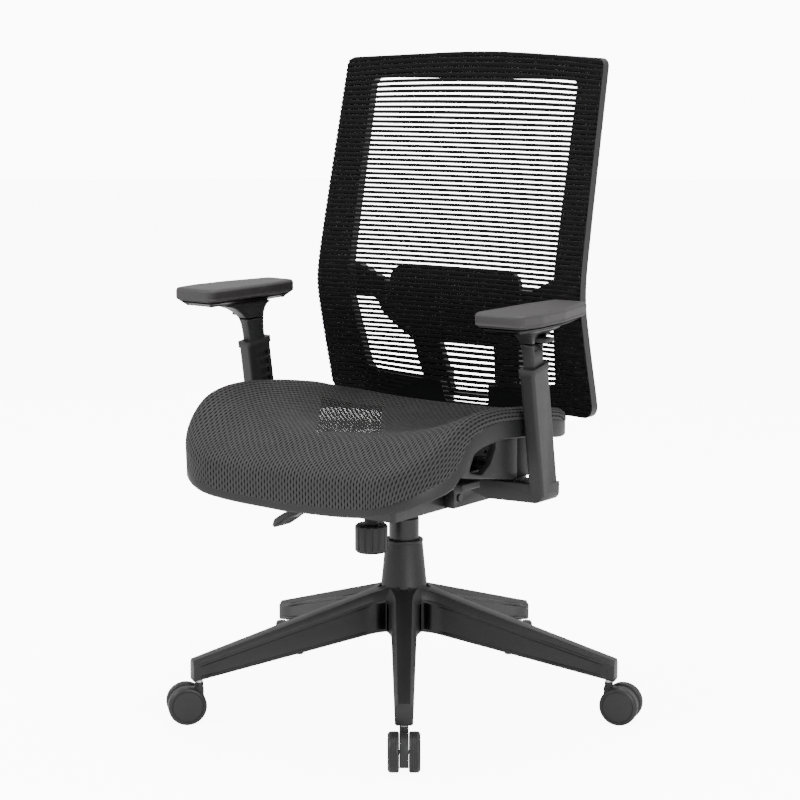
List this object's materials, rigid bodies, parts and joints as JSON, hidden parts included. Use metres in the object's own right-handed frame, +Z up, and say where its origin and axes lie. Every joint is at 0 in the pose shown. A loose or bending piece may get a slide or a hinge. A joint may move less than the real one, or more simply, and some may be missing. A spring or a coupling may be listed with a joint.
{
  "type": "swivel office chair",
  "caption": "High mesh-back swivel office chair with adjustable arms, gas-spring column and a star base on twin-wheel casters.",
  "frame": {"origin": "on the floor, under the column's axis", "axes": "+Z up along the column, -Y the way the sitter faces, +X the sitter's left"},
  "size_m": [0.736, 0.71, 1.0282],
  "materials": {
    "nylon": "fine-textured satin nylon",
    "mesh": "woven elastic mesh",
    "pad": "soft matt polyurethane",
    "wheel": "satin nylon with a softer tread",
    "black_steel": "black powder coat",
    "chrome": "polished",
    "steel": "zinc plated"
  },
  "bodies": {
    "base": {"star_base": "nylon", "column_cover": "nylon", "stand_tube": "black_steel", "guide_bush": "nylon"},
    "spindle": {"piston_rod": "chrome", "thrust_bearing": "steel"},
    "lift": {"gas_cylinder": "chrome", "mechanism_housing": "black_steel", "recline_pin": "black_steel", "seat_pivot_pin": "black_steel", "tension_spring": "steel"},
    "knob": {"tension_knob": "nylon"},
    "lever": {"height_lever": "black_steel", "lever_paddle": "nylon"},
    "back": {"back_yoke": "black_steel", "back_spine": "nylon", "back_frame": "nylon", "back_mesh": "mesh", "back_screws": "steel"},
    "lumbar": {"lumbar_pad": "nylon"},
    "seat": {"seat_frame": "nylon", "seat_mesh": "mesh", "seat_plate": "black_steel", "seat_screws": "steel", "arm_bracket_left": "nylon", "arm_bracket_right": "nylon"},
    "arm_left": {"arm_post_left": "nylon"},
    "trigger_left": {"arm_trigger_left": "nylon"},
    "pad_left": {"arm_pad_base_left": "nylon", "arm_pad_left": "pad"},
    "arm_right": {"arm_post_right": "nylon"},
    "trigger_right": {"arm_trigger_right": "nylon"},
    "pad_right": {"arm_pad_base_right": "nylon", "arm_pad_right": "pad"},
    "caster_1": {"caster_stem_1": "steel", "caster_hood_1": "nylon", "caster_axle_1": "steel"},
    "wheel_left_1": {"caster_wheel_left_1": "wheel"},
    "wheel_right_1": {"caster_wheel_right_1": "wheel"},
    "caster_2": {"caster_stem_2": "steel", "caster_hood_2": "nylon", "caster_axle_2": "steel"},
    "wheel_left_2": {"caster_wheel_left_2": "wheel"},
    "wheel_right_2": {"caster_wheel_right_2": "wheel"},
    "caster_3": {"caster_stem_3": "steel", "caster_hood_3": "nylon", "caster_axle_3": "steel"},
    "wheel_left_3": {"caster_wheel_left_3": "wheel"},
    "wheel_right_3": {"caster_wheel_right_3": "wheel"},
    "caster_4": {"caster_stem_4": "steel", "caster_hood_4": "nylon", "caster_axle_4": "steel"},
    "wheel_left_4": {"caster_wheel_left_4": "wheel"},
    "wheel_right_4": {"caster_wheel_right_4": "wheel"},
    "caster_5": {"caster_stem_5": "steel", "caster_hood_5": "nylon", "caster_axle_5": "steel"},
    "wheel_left_5": {"caster_wheel_left_5": "wheel"},
    "wheel_right_5": {"caster_wheel_right_5": "wheel"}
  },
  "joints": [
    {"name": "seat_swivel", "type": "hinge", "parent": "base", "child": "spindle", "pos_m": [0, 0, 0.13], "axis": [0, 0, 1], "continuous": true},
    {"name": "seat_height", "type": "slide", "parent": "spindle", "child": "lift", "axis": [0, 0, 1], "range_m": [0, 0.1]},
    {"name": "back_recline", "type": "hinge", "parent": "lift", "child": "back", "pos_m": [0, 0.03, 0.338], "axis": [-1, 0, 0], "range_deg": [0, 20], "stiffness_Nm_per_rad": 60, "springref_deg": -22.92},
    {"name": "seat_tilt", "type": "hinge", "parent": "lift", "child": "seat", "pos_m": [0, -0.09, 0.372], "axis": [-1, 0, 0], "range_deg": [0, 6], "stiffness_Nm_per_rad": 60, "springref_deg": -11.46},
    {"name": "lumbar_height", "type": "slide", "parent": "back", "child": "lumbar", "axis": [0, 0, 1], "range_m": [-0.02, 0.01]},
    {"name": "lever_lift", "type": "hinge", "parent": "lift", "child": "lever", "pos_m": [-0.076, -0.022, 0.328], "axis": [0, 1, 0], "range_deg": [0, 6], "stiffness_Nm_per_rad": 0.6, "springref_deg": -22.92},
    {"name": "tension_turn", "type": "hinge", "parent": "lift", "child": "knob", "pos_m": [0, -0.086, 0.29], "axis": [0, 0, 1], "range_deg": [0, 1440]},
    {"name": "arm_height_left", "type": "slide", "parent": "seat", "child": "arm_left", "axis": [0, -0.1564, 0.9877], "range_m": [-0.025, 0.06]},
    {"name": "trigger_press_left", "type": "hinge", "parent": "arm_left", "child": "trigger_left", "pos_m": [0.277, -0.04811, 0.612], "axis": [0, -1, 0], "range_deg": [0, 8], "stiffness_Nm_per_rad": 0.05, "springref_deg": -17.19},
    {"name": "pad_turn_left", "type": "hinge", "parent": "arm_left", "child": "pad_left", "pos_m": [0.283, -0.064, 0.635], "axis": [0, 0, 1], "range_deg": [-15, 15]},
    {"name": "arm_height_right", "type": "slide", "parent": "seat", "child": "arm_right", "axis": [0, -0.1564, 0.9877], "range_m": [-0.025, 0.06]},
    {"name": "trigger_press_right", "type": "hinge", "parent": "arm_right", "child": "trigger_right", "pos_m": [-0.277, -0.04811, 0.612], "axis": [0, 1, 0], "range_deg": [0, 8], "stiffness_Nm_per_rad": 0.05, "springref_deg": -17.19},
    {"name": "pad_turn_right", "type": "hinge", "parent": "arm_right", "child": "pad_right", "pos_m": [-0.283, -0.064, 0.635], "axis": [0, 0, 1], "range_deg": [-15, 15]},
    {"name": "caster_swivel_1", "type": "hinge", "parent": "base", "child": "caster_1", "pos_m": [0.19632, -0.27021, 0.064], "axis": [0, 0, 1], "continuous": true},
    {"name": "wheel_spin_left_1", "type": "hinge", "parent": "caster_1", "child": "wheel_left_1", "pos_m": [0.20808, -0.28639, 0.03], "axis": [0.809, 0.5878, 0], "continuous": true},
    {"name": "wheel_spin_right_1", "type": "hinge", "parent": "caster_1", "child": "wheel_right_1", "pos_m": [0.20808, -0.28639, 0.03], "axis": [0.809, 0.5878, 0], "continuous": true},
    {"name": "caster_swivel_2", "type": "hinge", "parent": "base", "child": "caster_2", "pos_m": [0.31765, 0.10321, 0.064], "axis": [0, 0, 1], "continuous": true},
    {"name": "wheel_spin_left_2", "type": "hinge", "parent": "caster_2", "child": "wheel_left_2", "pos_m": [0.33688, 0.10872, 0.03], "axis": [-0.2756, 0.9613, 0], "continuous": true},
    {"name": "wheel_spin_right_2", "type": "hinge", "parent": "caster_2", "child": "wheel_right_2", "pos_m": [0.33688, 0.10872, 0.03], "axis": [-0.2756, 0.9613, 0], "continuous": true},
    {"name": "caster_swivel_3", "type": "hinge", "parent": "base", "child": "caster_3", "pos_m": [0, 0.334, 0.064], "axis": [0, 0, 1], "continuous": true},
    {"name": "wheel_spin_left_3", "type": "hinge", "parent": "caster_3", "child": "wheel_left_3", "pos_m": [-0.01176, 0.35018, 0.03], "axis": [-0.809, -0.5878, 0], "continuous": true},
    {"name": "wheel_spin_right_3", "type": "hinge", "parent": "caster_3", "child": "wheel_right_3", "pos_m": [-0.01176, 0.35018, 0.03], "axis": [-0.809, -0.5878, 0], "continuous": true},
    {"name": "caster_swivel_4", "type": "hinge", "parent": "base", "child": "caster_4", "pos_m": [-0.31765, 0.10321, 0.064], "axis": [0, 0, 1], "continuous": true},
    {"name": "wheel_spin_left_4", "type": "hinge", "parent": "caster_4", "child": "wheel_left_4", "pos_m": [-0.32941, 0.11939, 0.03], "axis": [-0.809, -0.5878, 0], "continuous": true},
    {"name": "wheel_spin_right_4", "type": "hinge", "parent": "caster_4", "child": "wheel_right_4", "pos_m": [-0.32941, 0.11939, 0.03], "axis": [-0.809, -0.5878, 0], "continuous": true},
    {"name": "caster_swivel_5", "type": "hinge", "parent": "base", "child": "caster_5", "pos_m": [-0.19632, -0.27021, 0.064], "axis": [0, 0, 1], "continuous": true},
    {"name": "wheel_spin_left_5", "type": "hinge", "parent": "caster_5", "child": "wheel_left_5", "pos_m": [-0.20996, -0.28484, 0.03], "axis": [0.7314, -0.682, 0], "continuous": true},
    {"name": "wheel_spin_right_5", "type": "hinge", "parent": "caster_5", "child": "wheel_right_5", "pos_m": [-0.20996, -0.28484, 0.03], "axis": [0.7314, -0.682, 0], "continuous": true}
  ],
  "couplings": [
    {"joint": "seat_tilt", "follows": "back_recline", "ratio": 0.3}
  ]
}
